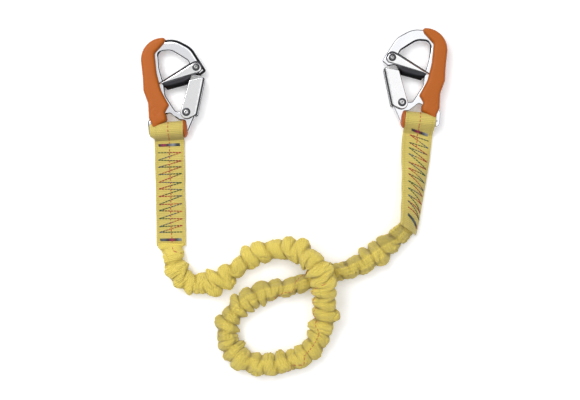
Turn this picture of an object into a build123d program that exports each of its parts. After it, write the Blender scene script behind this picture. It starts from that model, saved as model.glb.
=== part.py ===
from build123d import *
import math
import os

# An elasticated safety tether, millimetres. It lies flat on a surface at z = 0.
# The long way of both hooks runs along Y, and the two hooks lie apart along X.

# Where the two eye bars are, and how the bars and the sewn straps are turned about Z.
left_eye = (-143.7, 7.4)
right_eye = (143.7, 18.5)
bar_tilt = 4.5
left_strap_turn = 1.0
right_strap_turn = -6.0
bar_height = 9.0

# Webbing.
web_width = 34.0
web_offset = 0.5
web_wall = 2.3
loop_inner = 6.7
loop_outer = loop_inner + web_wall
strap_thick = 4.4
strap_start = 16.0
left_strap_length = 130.5
right_twist = -46.0
right_twists = ((15, 0), (24, -3), (40, -12), (58, -23), (76, -33), (94, -41), (108, -45))

# Gathered tube and the elastic cord in it.
tube_diameter = 26.0
tube_wall = 3.0
elastic_diameter = 9.0
run_share = 0.45

# Hook.
body_thick = 8.0
body_edge = 1.3
bar_radius = 4.2
sleeve_radius = 6.4
sleeve_reach = (-18.0, 16.8)
dome_size = (5.0, 11.0, 8.6)
grip_half = 9.0
grip_edge = 3.2
grip_clear = 9.3
grip_rivet_at = (-13.3, 21.2)
grip_rivet_radius = 2.0
grip_rivet_half = 7.4
ring_outer = 5.4
ring_inner = 4.4
ring_depth = 0.5

lever_pin_at = (36.7, 68.5)
lever_inner = 4.4
lever_outer = 5.9
lever_pin_radius = 2.0
lever_head_radius = 6.3
lever_tip_reach = 45.2
keel_reach = 40.3
keel_floor = 0.9
keel_depth = 9.6

gate_pin_at = (21.7, 18.0)
gate_inner = 6.3
gate_outer = 7.8
gate_pin_radius = 2.2
gate_wall = 1.5
gate_foot_radius = 7.0
gate_boss_radius = 5.2
running_gap = 0.05
rivet_head = 0.9
wire = 1.0
spring_turns = 2
spring_slot = 2.8
spring_radius = 3.0
lever_leg = (202.0, 14.0, 1)
gate_leg = (55.0, 21.0, -1)

# Outlines in the hook's own frame: the eye bar lies along X through the origin, the bow is
# towards +Y and the spine on the -X side. Each corner is (x, y, radius of its round).
body_outline = [
    (-18.2, -7.0, 0.8),
    (-23.6, -6.0, 4.5),
    (-23.6, 10.5, 6.0),
    (-18.4, 17.5, 4.0),
    (-18.2, 32.0, 10.0),
    (-22.4, 46.0, 12.0),
    (-22.6, 102.6, 22.0),
    (15.5, 103.2, 26.0),
    (33.2, 92.0, 24.0),
    (48.4, 63.4, 2.6),
    (41.2, 58.6, 2.4),
    (31.0, 61.0, 2.4),
    (28.4, 76.6, 8.0),
    (9.5, 90.2, 14.0),
    (-5.4, 90.2, 6.5),
    (-5.5, 70.5, 30.0),
    (-1.5, 51.0, 20.0),
    (-1.2, 39.6, 12.0),
    (9.6, 19.4, 5.0),
    (24.5, 19.4, 1.5),
    (31.8, 14.6, 2.5),
    (23.0, -2.0, 6.0),
    (19.4, -7.0, 0.8),
    (19.2, 8.6, 2.0),
    (12.6, 9.5, 3.0),
    (2.2, 18.6, 2.6),
    (-12.0, 12.6, 4.0),
    (-18.2, 9.6, 1.5),
]
grip_outline = [
    (-17.4, 3.4, 1.6),
    (-21.8, 14.0, 5.0),
    (-21.2, 31.5, 14.0),
    (-25.6, 46.5, 10.0),
    (-25.0, 60.0, 40.0),
    (-26.4, 105.6, 25.0),
    (5.2, 105.0, 2.6),
    (2.6, 99.0, 3.0),
    (-9.4, 87.6, 4.0),
    (-9.0, 66.0, 40.0),
    (-5.6, 45.5, 30.0),
    (2.6, 27.4, 2.6),
    (-2.6, 20.0, 2.6),
    (-1.2, 10.0, 4.0),
]
lever_outline = [
    (29.2, 71.8, 1.0),
    (-7.0, 52.9, 0.8),
    (-4.0, 44.4, 1.5),
    (26.6, 49.6, 1.5),
    (30.0, 60.7, 1.5),
    (41.6, 62.8, 1.5),
    (42.4, 70.0, 1.0),
]
lever_bend = ((41.7, 62.8), (-1.0, 53.3))
gate_outline = [
    (27.0, 12.2, 1.0),
    (33.4, 13.8, 0.8),
    (43.4, 48.4, 6.0),
    (45.6, 56.6, 1.2),
    (27.9, 54.4, 1.2),
    (16.6, 17.6, 1.0),
]
gate_web_top = 43.0

# The gathered tube's route: (x, y, height of its centre line), from the left strap's end
# to the right strap's end. The first pass over the crossing is the upper one.
tube_low = 13.0
tube_route = [
    (-141.9, -123.1, tube_low),
    (-141.5, -144.5, tube_low),
    (-127.0, -166.0, tube_low),
    (-102.5, -174.0, tube_low),
    (-71.5, -157.0, tube_low),
    (-42.5, -134.0, tube_low),
    (-9.5, -128.5, 20.0),
    (20.0, -138.0, 42.0),
    (35.5, -166.5, 44.0),
    (37.0, -206.0, 22.0),
    (25.0, -241.0, tube_low),
    (-3.5, -261.0, tube_low),
    (-38.0, -265.5, tube_low),
    (-69.0, -252.0, tube_low),
    (-81.5, -221.0, tube_low),
    (-63.5, -193.0, tube_low),
    (-35.0, -178.0, tube_low),
    (-3.0, -174.5, tube_low),
    (31.5, -160.0, tube_low),
    (63.0, -154.0, tube_low),
    (91.5, -139.0, tube_low),
    (114.5, -119.0, tube_low),
    (130.5, -104.0, tube_low),
]


def outline_face(corners):
    """Flat face inside a closed outline of straight runs with rounded corners."""
    points = [(x, y) for x, y, radius in corners]
    radii = [radius for x, y, radius in corners]
    return make_face(FilletPolyline(*points, radius=radii, close=True).edges())


def slab(face, low, high):
    """Solid between two heights on a flat face drawn at height zero."""
    return extrude(Pos(0, 0, low) * face, amount=high - low, dir=(0, 0, 1))


def rod(radius, low, high, at=(0, 0)):
    """Upright round bar."""
    return Pos(at[0], at[1], (low + high) / 2) * Cylinder(radius, high - low)


def bar_along_x(radius, low, high):
    """Round bar along X through the origin."""
    return Pos((low + high) / 2, 0, 0) * Rotation(0, 90, 0) * Cylinder(radius, high - low)


def make_body():
    """Forged body: bow, spine, lower arm with its gate boss, and the webbing eye."""
    half = body_thick / 2
    body = slab(outline_face(body_outline), -half, half)
    rims = body.faces().filter_by(Plane.XY).edges()
    body = fillet(rims, body_edge)
    body += bar_along_x(bar_radius, -20.5, 21.0)
    body += rod(gate_boss_radius, -gate_inner + 0.3, gate_inner - 0.3, gate_pin_at)
    body -= rod(gate_pin_radius + running_gap, -grip_half, grip_half, gate_pin_at)
    body -= rod(lever_pin_radius + running_gap, -grip_half, grip_half, lever_pin_at)
    body -= leg_slot(lever_pin_at, lever_leg[0], 12.0)
    body -= leg_slot(gate_pin_at, gate_leg[0], 12.0)
    body -= rod(grip_rivet_radius, -grip_half, grip_half, grip_rivet_at)
    return body


def make_grip_half(body):
    """Half of the moulded grip: a domed shell on the spine, cut round the steel in it."""
    shell = slab(outline_face(grip_outline), 0, grip_half)
    shell = fillet(shell.faces().sort_by(Axis.Z)[-1].edges(), grip_edge)
    x, y = grip_rivet_at
    groove = rod(ring_outer, grip_half - ring_depth, grip_half, (x, y))
    groove -= rod(ring_inner, grip_half - ring_depth, grip_half, (x, y))
    shell -= groove
    shell -= bar_along_x(grip_clear, -30, 30)
    shell -= rod(grip_rivet_radius, -grip_rivet_half, grip_rivet_half, (x, y))
    return shell - body


def make_sleeve(body):
    """Plastic sleeve on the eye bar with one domed end beside the webbing."""
    low, high = sleeve_reach
    sleeve = bar_along_x(sleeve_radius, low, high)
    dome = scale(Sphere(1), by=dome_size)
    dome &= Pos(10, 0, 0) * Box(20, 30, 30)
    sleeve += Pos(high, 0, 0) * dome
    sleeve -= bar_along_x(bar_radius, low, high + dome_size[0])
    sleeve -= body
    return sleeve.solids().sort_by(SortBy.VOLUME)[-1]


def bend_plane():
    """Plane across the lever at its bend: X is depth below the bend line, Z runs along it."""
    (x0, y0), (x1, y1) = lever_bend
    size = math.hypot(x1 - x0, y1 - y0)
    along = ((x1 - x0) / size, (y1 - y0) / size, 0)
    return Plane(origin=(x0, y0, 0), x_dir=(-along[1], along[0], 0), z_dir=along)


def make_lever():
    """Locking lever: two cheeks astride nose and spine, joined by a keel with sloped sides."""
    outline = slab(outline_face(lever_outline), -lever_outer, lever_outer)
    plate = outline + rod(lever_head_radius, -lever_outer, lever_outer, lever_pin_at)
    plate &= rod(lever_tip_reach, -lever_outer, lever_outer, lever_pin_at)
    across = bend_plane()
    below = across * (Pos(20, 0, 20) * Box(40, 40, 120))
    cheeks = plate - below - Box(200, 200, 2 * lever_inner)
    section = Polyline(
        (0, lever_outer), (keel_depth, keel_floor), (keel_depth, -keel_floor), (0, -lever_outer), close=True
    )
    wedge = extrude(across * make_face(section.edges()), amount=60)
    keel = outline & wedge & rod(keel_reach, -lever_outer, lever_outer, lever_pin_at)
    return cheeks + keel - rod(lever_pin_radius, -lever_outer, lever_outer, lever_pin_at)


def make_gate():
    """Gate: a channel with its web outside, cheeks astride the lower arm and the lever."""
    plate = slab(outline_face(gate_outline), -gate_outer, gate_outer)
    plate += rod(gate_foot_radius, -gate_outer, gate_outer, gate_pin_at)
    x0, y0, _ = gate_outline[1]
    x1, y1, _ = gate_outline[3]
    size = math.hypot(x1 - x0, y1 - y0)
    along = ((x1 - x0) / size, (y1 - y0) / size, 0)
    web = Plane(origin=(x0, y0, 0), x_dir=(-along[1], along[0], 0), z_dir=along)
    hollow = web * (Pos(50 + gate_wall, 0, 20) * Box(100, 2 * gate_inner, 160))
    over_nose = Box(200, 200, 2 * gate_inner) - rod(gate_web_top, -gate_outer, gate_outer, gate_pin_at)
    return plate - hollow - over_nose - rod(gate_pin_radius, -gate_outer, gate_outer, gate_pin_at)


def make_pin(radius, half, head_radius, at):
    """Rivet through a joint, with a low head outside each cheek."""
    pin = rod(radius, -half, half, at)
    for low in (-half - rivet_head, half):
        head = rod(head_radius, low, low + rivet_head, at)
        rim = head.edges().filter_by(GeomType.CIRCLE).sort_by(Axis.Z)[-1 if low > 0 else 0]
        pin += fillet(rim, rivet_head * 0.6)
    return pin


def make_spring(at, legs):
    """Torsion spring: touching turns round a pin, and straight legs (angle, length, side)."""
    half = spring_turns * wire / 2
    coil = rod(spring_radius + wire / 2, -half, half, at) - rod(spring_radius - wire / 2, -half, half, at)
    for height, (angle, length, side) in zip((-wire / 2, wire / 2), legs):
        a = math.radians(angle)
        x = at[0] - side * spring_radius * math.sin(a)
        y = at[1] + side * spring_radius * math.cos(a)
        start = Plane(origin=(x, y, height), z_dir=(math.cos(a), math.sin(a), 0))
        coil += extrude(start * Rectangle(wire * 0.8, wire * 0.8), amount=length)
    return coil


def leg_slot(at, angle, reach):
    """Room in the steel for a spring's coil and the leg that leaves it."""
    room = rod(spring_radius + 1.9, -spring_slot / 2, spring_slot / 2, at)
    slot = Pos(*at, 0) * Rotation(0, 0, angle) * Pos(reach / 2, 0, 0)
    return room + slot * Box(reach, 2 * spring_radius + 2, spring_slot)


def loop_section():
    """Side view of a sewn loop: a tear-drop round the bar that closes into the flat strap.

    X is distance from the bar along the strap and Y is height, with the bar at (0, 0)."""
    floor = -bar_height
    top = floor + strap_thick
    outer = tear_drop(loop_outer, strap_start, top, floor)
    inner = tear_drop(loop_inner, strap_start - 4.0, top - web_wall + 0.2, floor + web_wall - 0.2)
    return outer - inner


def tear_drop(radius, reach, top, low):
    """Face inside a circle and its two tangents to the end points at the given reach."""
    upper = tangent_point(radius, reach, top, 1)
    lower = tangent_point(radius, reach, low, -1)
    sides = [Line(lower, (reach, low)), Line((reach, low), (reach, top)), Line((reach, top), upper)]
    back = ThreePointArc(upper, (-radius, 0), lower)
    return make_face([*sides, back])


def tangent_point(radius, x, y, side):
    """Where a line from (x, y) touches a circle round the origin, on its upper or lower side."""
    far = math.hypot(x, y)
    angle = math.atan2(y, x) + side * math.acos(min(1.0, radius / far))
    return (radius * math.cos(angle), radius * math.sin(angle))


def make_loop():
    """Sewn loop round the eye bar, in the hook's frame, with its strap leaving towards -Y."""
    side = Plane(origin=(0, 0, 0), x_dir=(0, -1, 0), z_dir=(-1, 0, 0))
    return extrude(side * loop_section(), amount=web_width / 2, both=True)


def strap_point(eye, shift, turn, distance):
    """Point of a strap's centre line in plan, at a distance from the bar."""
    a = math.radians(turn)
    return (eye[0] + shift + distance * math.sin(a), eye[1] - distance * math.cos(a))


def section_plane(point, height, heading, twist):
    """Plane across a strap; its X is the strap's width, turned by the twist about the heading."""
    h = math.radians(heading)
    t = math.radians(twist)
    along = (math.cos(h), math.sin(h), 0)
    across = (-along[1], along[0], 0)
    width = (across[0] * math.cos(t), across[1] * math.cos(t), math.sin(t))
    return Plane(origin=(*point, height), x_dir=width, z_dir=along)


def make_left_strap():
    """Left sewn end: loop and flat strap."""
    loop = place("left", Pos(-web_offset, 0, 0) * make_loop())
    start = strap_point(left_eye, -web_offset, left_strap_turn, strap_start - 1.0)
    heading = left_strap_turn - 90
    flat = section_plane(start, strap_thick / 2, heading, 0) * Rectangle(web_width, strap_thick)
    return loop + extrude(flat, amount=left_strap_length - strap_start + 1.0)


def right_strap_sections():
    """(point, heading, twist) of each section of the right strap, bar end first."""
    sections = []
    for distance, twist in right_twists:
        point = strap_point(right_eye, web_offset, right_strap_turn, distance)
        sections.append((point, right_strap_turn - 90, twist))
    x, y, _ = tube_route[-1]
    before = tube_route[-2]
    sections.append(((x, y), math.degrees(math.atan2(before[1] - y, before[0] - x)), right_twist))
    return sections


def standing_height(twist):
    """Height of a strap's centre when its lower edge rests on the floor."""
    t = math.radians(twist)
    return web_width / 2 * abs(math.sin(t)) + strap_thick / 2 * math.cos(t)


def make_right_strap():
    """Right sewn end: loop, and a strap that turns about its own length as it runs."""
    loop = Pos(*right_eye, bar_height) * Rotation(0, 0, -bar_tilt) * Pos(web_offset, 0, 0) * make_loop()
    rows = []
    for point, heading, twist in right_strap_sections():
        across = section_plane(point, standing_height(twist), heading, twist)
        rows.append(across * Rectangle(web_width, strap_thick))
    return loop + loft(rows, ruled=True)


def tube_path():
    """Straight runs of the route joined by arcs, each as large as its two runs allow."""
    points = [Vector(*p) for p in tube_route]
    radii = []
    for a, b, c in zip(points, points[1:], points[2:]):
        shorter = min((b - a).length, (c - b).length)
        half = math.radians((b - a).get_angle(c - b)) / 2
        radii.append(run_share * shorter / math.tan(half))
    print("tube radii:", " ".join(f"{r:.0f}" for r in radii))
    return FilletPolyline(*points, radius=radii)


def make_tube(path, outer, inner=0.0):
    """Round section carried along the route, hollow if it has an inner diameter."""
    start = Plane(origin=path @ 0, z_dir=path % 0)
    ring = Circle(outer / 2)
    if inner:
        ring -= Circle(inner / 2)
    tube = sweep(start * ring, path=path)
    expected = math.pi * (outer**2 - inner**2) / 4 * path.length
    print(f"tube volume {tube.volume:.0f}, section times length {expected:.0f}, length {path.length:.0f}")
    return tube


def place(side, shape):
    """Moves a shape from the hook's frame to its place; the right hook lies turned over."""
    if side == "left":
        return Pos(*left_eye, bar_height) * Rotation(0, 0, bar_tilt) * shape
    return Pos(*right_eye, bar_height) * Rotation(0, 0, -bar_tilt) * Rotation(0, 180, 0) * shape


def hook_parts():
    """Every piece of one hook, in the hook's own frame."""
    body = make_body()
    grip = make_grip_half(body)
    return {
        "hook_body": body,
        "grip_half_a": grip,
        "grip_half_b": mirror(grip, about=Plane.XY),
        "grip_rivet": rod(grip_rivet_radius, -grip_rivet_half, grip_rivet_half, grip_rivet_at),
        "eye_sleeve": make_sleeve(body),
        "lever": make_lever(),
        "lever_pin": make_pin(lever_pin_radius, lever_outer, 3.1, lever_pin_at),
        "lever_spring": make_spring(lever_pin_at, [lever_leg, (60.0, 2.4, 1)]),
        "gate": make_gate(),
        "gate_pin": make_pin(gate_pin_radius, gate_outer, 4.0, gate_pin_at),
        "gate_spring": make_spring(gate_pin_at, [(190.0, 2.4, -1), gate_leg]),
    }


def write(name, shape):
    export_step(shape, f"parts/{name}.step")


os.makedirs("parts", exist_ok=True)
pieces = hook_parts()
for side in ("left", "right"):
    for name, shape in pieces.items():
        write(f"{side}_{name}", place(side, shape))
write("left_strap", make_left_strap())
write("right_strap", make_right_strap())
route = tube_path()
write("gathered_webbing", make_tube(route, tube_diameter, tube_diameter - 2 * tube_wall))
write("elastic_cord", make_tube(route, elastic_diameter))
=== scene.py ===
import math

import bpy
import numpy as np
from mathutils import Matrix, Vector
from mathutils.geometry import delaunay_2d_cdt


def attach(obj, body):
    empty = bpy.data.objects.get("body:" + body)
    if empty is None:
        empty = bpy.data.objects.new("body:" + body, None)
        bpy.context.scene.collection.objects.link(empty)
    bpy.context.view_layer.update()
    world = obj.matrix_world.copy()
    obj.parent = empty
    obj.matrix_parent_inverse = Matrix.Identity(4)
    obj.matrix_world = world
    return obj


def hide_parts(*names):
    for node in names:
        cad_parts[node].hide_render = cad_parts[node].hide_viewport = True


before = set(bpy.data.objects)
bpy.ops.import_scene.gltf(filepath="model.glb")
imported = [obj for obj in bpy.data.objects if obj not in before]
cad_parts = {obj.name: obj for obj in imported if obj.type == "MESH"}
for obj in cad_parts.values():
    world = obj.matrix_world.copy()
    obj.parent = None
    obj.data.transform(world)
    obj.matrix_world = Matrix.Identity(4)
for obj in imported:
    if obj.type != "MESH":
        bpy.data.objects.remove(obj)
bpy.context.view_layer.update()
scene = bpy.context.scene
mm = 0.001  # every size below is in millimetres and becomes metres when a mesh is made
print("frame loaded:", len(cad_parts), "pieces")

view = {"above": (-4.8, -73.7), "height": 1310.0, "lens": 70.2, "sensor": 36.0}

camera = bpy.data.objects.new("camera", bpy.data.cameras.new("camera"))
camera.data.sensor_width = view["sensor"]
camera.data.lens = view["lens"]
camera.location = (view["above"][0] * mm, view["above"][1] * mm, view["height"] * mm)
scene.collection.objects.link(camera)
scene.camera = camera


# smooth step: 0 below a, 1 above b, and 3t^2 - 2t^3 between
def smooth(a, b, x):
    t = np.clip((x - a) / (b - a), 0, 1)
    return t * t * (3 - 2 * t)


# soft noise along a line: seeded numbers one step apart, joined by the smooth step
def lineNoise(x, step, seed):
    table = np.random.default_rng(seed).uniform(-1, 1, 4096)
    place = x / step + 1000
    low = np.floor(place).astype(int)
    part = place - low
    part = part * part * (3 - 2 * part)
    return table[low % 4096] * (1 - part) + table[(low + 1) % 4096] * part


# soft noise on a surface: the four corners of a cell of seeded numbers, joined by the smooth step
def sheetNoise(x, y, step, seed):
    table = np.random.default_rng(seed).uniform(-1, 1, (256, 256))
    px, py = x / step + 500, y / step + 500
    ix, iy = np.floor(px).astype(int), np.floor(py).astype(int)
    fx, fy = px - ix, py - iy
    fx, fy = fx * fx * (3 - 2 * fx), fy * fy * (3 - 2 * fy)
    a = table[ix % 256, iy % 256] * (1 - fx) + table[(ix + 1) % 256, iy % 256] * fx
    b = table[ix % 256, (iy + 1) % 256] * (1 - fx) + table[(ix + 1) % 256, (iy + 1) % 256] * fx
    return a * (1 - fy) + b * fy


# the same direction at length one: each vector over its own length
def unit(v):
    return v / np.linalg.norm(v, axis=-1, keepdims=True)


# puts points (in millimetres) and faces into a mesh; corners holds a pattern place for each face corner
def meshPiece(name, points, faces, material, corners=None, marks=None):
    mesh = bpy.data.meshes.new(name)
    mesh.from_pydata((np.asarray(points) * mm).tolist(), [], faces)
    mesh.polygons.foreach_set("use_smooth", np.ones(len(mesh.polygons), bool))
    if corners is not None:
        mesh.uv_layers.new(name="pattern").data.foreach_set("uv", corners.astype(np.float32).ravel())
    for mark, values in (marks or {}).items():
        layer = mesh.attributes.new(mark, "FLOAT", "POINT")
        layer.data.foreach_set("value", values.astype(np.float32).ravel())
    mesh.materials.append(material)
    mesh.update()
    piece = bpy.data.objects.new(name, mesh)
    scene.collection.objects.link(piece)
    return piece


# faces over rings of points: a quad from each point to the next one round and to the ring after,
# and one cap over each end ring. Also gives each quad's row and column
def ringFaces(rows, cols):
    r, c = np.meshgrid(np.arange(rows - 1), np.arange(cols), indexing="ij")
    r, c = r.ravel(), c.ravel()
    after = (c + 1) % cols
    quads = np.stack([r * cols + c, r * cols + after, (r + 1) * cols + after, (r + 1) * cols + c], 1)
    caps = np.stack([np.arange(cols)[::-1], (rows - 1) * cols + np.arange(cols)])
    return quads, caps, r, c


# skin over a grid of rings: each ring is closed round, each end ring is closed by one cap;
# pattern has one column more than the grid, so that it runs on over the seam
def ringSkin(name, grid, material, pattern=None, marks=None):
    cols = grid.shape[1]
    quads, caps, r, c = ringFaces(*grid.shape[:2])
    corners = None
    if pattern is not None:
        sides = [pattern[r, c], pattern[r, c + 1], pattern[r + 1, c + 1], pattern[r + 1, c]]
        lids = np.concatenate([pattern[0, :cols][::-1], pattern[-1, :cols]])
        corners = np.concatenate([np.stack(sides, 1).reshape(-1, 2), lids])
    return meshPiece(name, grid.reshape(-1, 3), quads.tolist() + caps.tolist(), material, corners, marks)


# a number in a material: + - and * add Math nodes
class Wire:
    def __init__(self, shop, socket):
        self.shop = shop
        self.socket = socket

    def math(self, operation, *others):
        return self.shop.node("ShaderNodeMath", {"operation": operation}, dict(enumerate((self, *others))))

    def __add__(self, other):
        return self.math("ADD", other)

    def __sub__(self, other):
        return self.math("SUBTRACT", other)

    def __rsub__(self, other):
        return self.shop.node("ShaderNodeMath", {"operation": "SUBTRACT"}, {0: other, 1: self})

    def __mul__(self, other):
        return self.math("MULTIPLY", other)

    __radd__ = __add__
    __rmul__ = __mul__


# a tree of nodes: node() makes one of a type, sets it up and feeds its sockets
class Shop:
    def __init__(self, tree):
        self.tree = tree

    def feed(self, node, values):
        for key, value in values.items():
            if isinstance(value, Wire):
                self.tree.links.new(value.socket, node.inputs[key])
            else:
                node.inputs[key].default_value = value

    def node(self, kind, settings=None, values=None, out=0):
        node = self.tree.nodes.new(kind)
        for key, value in (settings or {}).items():
            if key == "stops":
                ramp = node.color_ramp
                while len(ramp.elements) < len(value):
                    ramp.elements.new(0.5)
                for element, (place, tone) in zip(ramp.elements, value):
                    element.position = place
                    element.color = tone
            else:
                setattr(node, key, value)
        self.feed(node, values or {})
        return Wire(self, node.outputs[out])

    def place(self):
        return self.node("ShaderNodeTexCoord", out=3)

    def patternXY(self):
        spot = self.node("ShaderNodeUVMap", {"uv_map": "pattern"})
        split = self.node("ShaderNodeSeparateXYZ", None, {0: spot})
        return split, Wire(self, split.socket.node.outputs[1])

    def mark(self, name):
        return self.node("ShaderNodeAttribute", {"attribute_name": name}, out=2)

    def noise(self, where, scale, detail=3.0, rough=0.5):
        return self.node("ShaderNodeTexNoise", None,
                         {"Vector": where, "Scale": scale, "Detail": detail, "Roughness": rough})

    def blend(self, factor, a, b):
        return self.node("ShaderNodeMix", {"data_type": "RGBA"}, {0: factor, 6: a, 7: b}, out=2)

    def bump(self, height, depth):
        return self.node("ShaderNodeBump", None, {"Height": height, "Distance": depth})


# one material: a tree whose Principled shader is set by the names of its sockets
class Finish(Shop):
    def __init__(self, name, **shine):
        self.material = bpy.data.materials.new(name)
        self.material.use_nodes = True
        super().__init__(self.material.node_tree)
        self.tree.nodes.clear()
        self.shader = self.tree.nodes.new("ShaderNodeBsdfPrincipled")
        out = self.tree.nodes.new("ShaderNodeOutputMaterial")
        self.tree.links.new(self.shader.outputs[0], out.inputs[0])
        self.paint(**shine)

    def paint(self, **values):
        self.feed(self.shader, {k.replace("_", " "): v for k, v in values.items()})


# opaque colour from its three linear shares
def colour(r, g, b):
    return (r, g, b, 1.0)


# a colour with each share multiplied by the same number
def darker(tone, share):
    return colour(*[c * share for c in tone[:3]])


# woven polyester: cross ribs and a finer diagonal from the cloth's own pattern, painted shade in the creases
# and in the gaps between the ribs, soft broad stains of light and dark
def webbingCloth(name, light, deep, ribPitch, ribDepth, ribShade):
    shop = Finish(name, Sheen_Weight=0.25, Sheen_Roughness=0.5)
    across, along = shop.patternXY()
    ribs = (along * (2 * math.pi / ribPitch)).math("SINE") * 0.5 + 0.5
    yarn = ((across + along * 0.5) * (2 * math.pi / (ribPitch * 0.8))).math("SINE") * 0.5 + 0.5
    spot = shop.place()
    broad = shop.noise(spot, 28.0)
    fuzz = shop.noise(spot, 900.0, 2.0)
    crease = shop.mark("crease")
    # painted shade: the crease mark and the gaps between the ribs darken the colour towards the deep tone;
    # the broad stains add to it
    shade = shop.node("ShaderNodeMapRange", None,
                      {0: crease * 0.9 + broad * 0.5 + (1 - ribs * yarn) * ribShade - 0.25, 1: 0.0, 2: 1.0})
    shop.paint(Base_Color=shop.blend(shade, light, deep), Roughness=0.7 + fuzz * 0.2)
    height = ribs * 0.75 + yarn * 0.15 + fuzz * 0.2
    shop.paint(Normal=shop.bump(height, ribDepth * mm))
    return shop.material


# bright polished steel: fine wear lines and faint clouding in its gloss, and painted dark reflection where a
# face's rim mark says that it falls away
def brightSteel(name, tone, gloss):
    shop = Finish(name, Metallic=1.0)
    spot = shop.place()
    cloud = shop.noise(spot, 60.0, 4.0)
    lines = shop.noise(shop.node("ShaderNodeMapping", None, {0: spot, 3: (40, 900, 300)}), 1.0, 4.0)
    clouded = shop.blend(cloud, tone, darker(tone, 0.9))
    # painted dark reflection: the colour goes near black where the rim mark is 1
    paintedDarkReflection = shop.blend(shop.mark("rim"), clouded, darker(tone, 0.13))
    shop.paint(Base_Color=paintedDarkReflection, Roughness=gloss + cloud * 0.05 + lines * 0.03)
    shop.paint(Normal=shop.bump(lines * 0.5 + cloud, 0.00004))
    return shop.material


# moulded plastic: fine spark texture, a little lighter where it is rubbed
def mouldedPlastic(name, tone, worn, gloss):
    shop = Finish(name, IOR=1.48, Specular_IOR_Level=0.32)
    spot = shop.place()
    cloud = shop.noise(spot, 45.0, 4.0)
    grain = shop.noise(spot, 1500.0, 2.0)
    shop.paint(Base_Color=shop.blend(cloud * 0.7, tone, worn), Roughness=gloss + grain * 0.12)
    shop.paint(Normal=shop.bump(grain * 0.5 + cloud * 0.6, 0.00006))
    return shop.material


# spun thread whose colour changes along its own length
def variegatedThread(name, stops):
    shop = Finish(name)
    fuzz = shop.noise(shop.place(), 1200.0)
    ramp = shop.node("ShaderNodeValToRGB", {"stops": stops}, {0: shop.mark("run").math("FRACT")})
    shop.paint(Base_Color=ramp, Roughness=0.55 + fuzz * 0.2)
    return shop.material


# spun thread of one colour, with a second tone mottled into it
def plainThread(name, tone, other):
    shop = Finish(name)
    fuzz = shop.noise(shop.place(), 700.0)
    shop.paint(Base_Color=shop.blend(fuzz, tone, other), Roughness=0.55 + fuzz * 0.2)
    return shop.material


gatheredYellow = webbingCloth("yellowGathered", colour(0.90, 0.72, 0.135), colour(0.46, 0.33, 0.04),
                              2.6, 0.75, 0.30)
strapYellow = webbingCloth("yellowStrap", colour(0.71, 0.575, 0.145), colour(0.40, 0.31, 0.06),
                           2.1, 0.35, 0.42)
steel = brightSteel("forgedSteel", colour(0.86, 0.87, 0.90), 0.09)
sheetSteel = brightSteel("pressedSheetSteel", colour(0.88, 0.88, 0.89), 0.08)
pinSteel = brightSteel("turnedPinSteel", colour(0.80, 0.80, 0.80), 0.2)
# painted shade and dark reflection: near-black steel for the lever's keel, whose steel lies in shade, and for
# the liner plates and pin rings that draw dark lines
keelSteel = brightSteel("shadedKeelSteel", colour(0.05, 0.05, 0.055), 0.25)
springSteel = brightSteel("springWire", colour(0.55, 0.55, 0.56), 0.25)
orangePlastic = mouldedPlastic("orangeGripPlastic", colour(0.435, 0.101, 0.004),
                               colour(0.48, 0.118, 0.008), 0.45)
sleevePlastic = mouldedPlastic("orangeEyePlastic", colour(0.40, 0.09, 0.012), colour(0.46, 0.11, 0.02), 0.4)
elasticRubber = mouldedPlastic("elasticCover", colour(0.60, 0.48, 0.12), colour(0.66, 0.55, 0.2), 0.7)
mixedThread = variegatedThread("mixedThread", [
    (0.0, colour(0.02, 0.09, 0.03)), (0.22, colour(0.03, 0.08, 0.04)), (0.34, colour(0.33, 0.02, 0.03)),
    (0.52, colour(0.40, 0.04, 0.03)), (0.62, colour(0.48, 0.15, 0.03)), (0.72, colour(0.06, 0.08, 0.10)),
    (0.86, colour(0.09, 0.11, 0.14)), (1.0, colour(0.02, 0.09, 0.03))])
tackThread = variegatedThread("tackThread", [
    (0.0, colour(0.02, 0.03, 0.03)), (0.25, colour(0.10, 0.11, 0.13)), (0.40, colour(0.03, 0.03, 0.04)),
    (0.52, colour(0.30, 0.02, 0.09)), (0.60, colour(0.25, 0.03, 0.05)), (0.68, colour(0.03, 0.04, 0.04)),
    (0.86, colour(0.26, 0.28, 0.32)), (1.0, colour(0.02, 0.03, 0.03))])
redThread = plainThread("redTracerThread", colour(0.48, 0.10, 0.04), colour(0.62, 0.16, 0.07))
print("materials made")


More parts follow.
